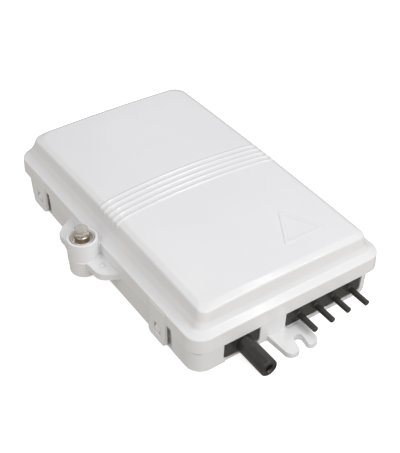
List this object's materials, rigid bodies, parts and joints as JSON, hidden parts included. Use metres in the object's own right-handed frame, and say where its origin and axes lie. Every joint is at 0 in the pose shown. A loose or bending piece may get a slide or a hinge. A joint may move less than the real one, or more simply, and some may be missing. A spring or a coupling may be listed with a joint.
{
  "type": "fiber termination box",
  "caption": "Wall box that terminates fibre drop cables: side-hinged domed cover with a bolt lock, rubber cable seals, screw ears, splice tray and adapters inside.",
  "frame": {"origin": "centre of the cover's outline, on the flat back of the base (the wall plane)", "axes": "+Z out of the wall through the cover, +Y along the length away from the cable seals, +X toward the hinge side; the lock is at -X"},
  "size_m": [0.1441, 0.2325, 0.0404],
  "materials": {
    "shell_abs": "glossy white moulded ABS",
    "seal_rubber": "satin black moulded rubber",
    "foam": "matt closed-cell foam rubber",
    "nickel": "bright nickel plate",
    "steel": "zinc-plated steel",
    "brass": "turned brass",
    "tray_plastic": "fine satin moulded ABS",
    "clear_lid": "clear polycarbonate sheet",
    "holder_rubber": "matt soft rubber",
    "adapter_green": "green moulded PBT",
    "dust_cap": "translucent soft rubber"
  },
  "bodies": {
    "base": {"base_tray": "shell_abs", "hinge_pin_front": "steel", "hinge_pin_rear": "steel", "inlet_seal": "seal_rubber", "outlet_seal": "seal_rubber", "lock_insert": "brass", "splice_tray": "tray_plastic", "splice_tray_lid": "clear_lid", "splice_holder": "holder_rubber", "adapter_bracket": "tray_plastic", "cable_clamp": "tray_plastic", "drop_cable_comb": "tray_plastic", "strength_member_post": "brass", "fibre_guide_1": "tray_plastic", "fibre_guide_2": "tray_plastic", "fibre_guide_3": "tray_plastic", "sc_adapter_1": "adapter_green", "outer_dust_cap_1": "dust_cap", "inner_dust_cap_1": "dust_cap", "sc_adapter_2": "adapter_green", "outer_dust_cap_2": "dust_cap", "inner_dust_cap_2": "dust_cap", "sc_adapter_3": "adapter_green", "outer_dust_cap_3": "dust_cap", "inner_dust_cap_3": "dust_cap", "sc_adapter_4": "adapter_green", "outer_dust_cap_4": "dust_cap", "inner_dust_cap_4": "dust_cap", "strength_member_screw": "steel", "clamp_screw_1": "steel", "clamp_screw_2": "steel", "comb_screw_1": "steel", "comb_screw_2": "steel", "bracket_screw_1": "steel", "bracket_screw_2": "steel", "tray_screw_1": "steel", "tray_screw_2": "steel"},
    "cover": {"cover": "shell_abs", "cover_gasket": "foam", "lock_sleeve": "nickel"},
    "lock_retainer": {"lock_retainer": "steel"},
    "lock_bolt": {"lock_bolt": "nickel"},
    "snap_tab_front": {"snap_tab_front": "shell_abs"},
    "snap_tab_rear": {"snap_tab_rear": "shell_abs"}
  },
  "joints": [
    {"name": "cover_hinge", "type": "hinge", "parent": "base", "child": "cover", "pos_m": [0.0606, 0, 0.0114], "axis": [0, 1, 0], "range_deg": [0, 110]},
    {"name": "lock_lift", "type": "slide", "parent": "cover", "child": "lock_retainer", "axis": [0, 0, 1], "range_m": [0, 0.004]},
    {"name": "lock_turn", "type": "hinge", "parent": "lock_retainer", "child": "lock_bolt", "pos_m": [-0.0715, 0, 0.0155], "axis": [0, 0, 1], "range_deg": [0, 1801]},
    {"name": "snap_tab_front_flex", "type": "hinge", "parent": "cover", "child": "snap_tab_front", "pos_m": [-0.06375, -0.0656, 0.0225], "axis": [0, 1, 0], "range_deg": [0, 9], "stiffness_Nm_per_rad": 0.5},
    {"name": "snap_tab_rear_flex", "type": "hinge", "parent": "cover", "child": "snap_tab_rear", "pos_m": [-0.06375, 0.071, 0.0225], "axis": [0, 1, 0], "range_deg": [0, 9], "stiffness_Nm_per_rad": 0.5}
  ],
  "couplings": [
    {"joint": "lock_turn", "follows": "lock_lift", "rad_per_m": 7854}
  ]
}
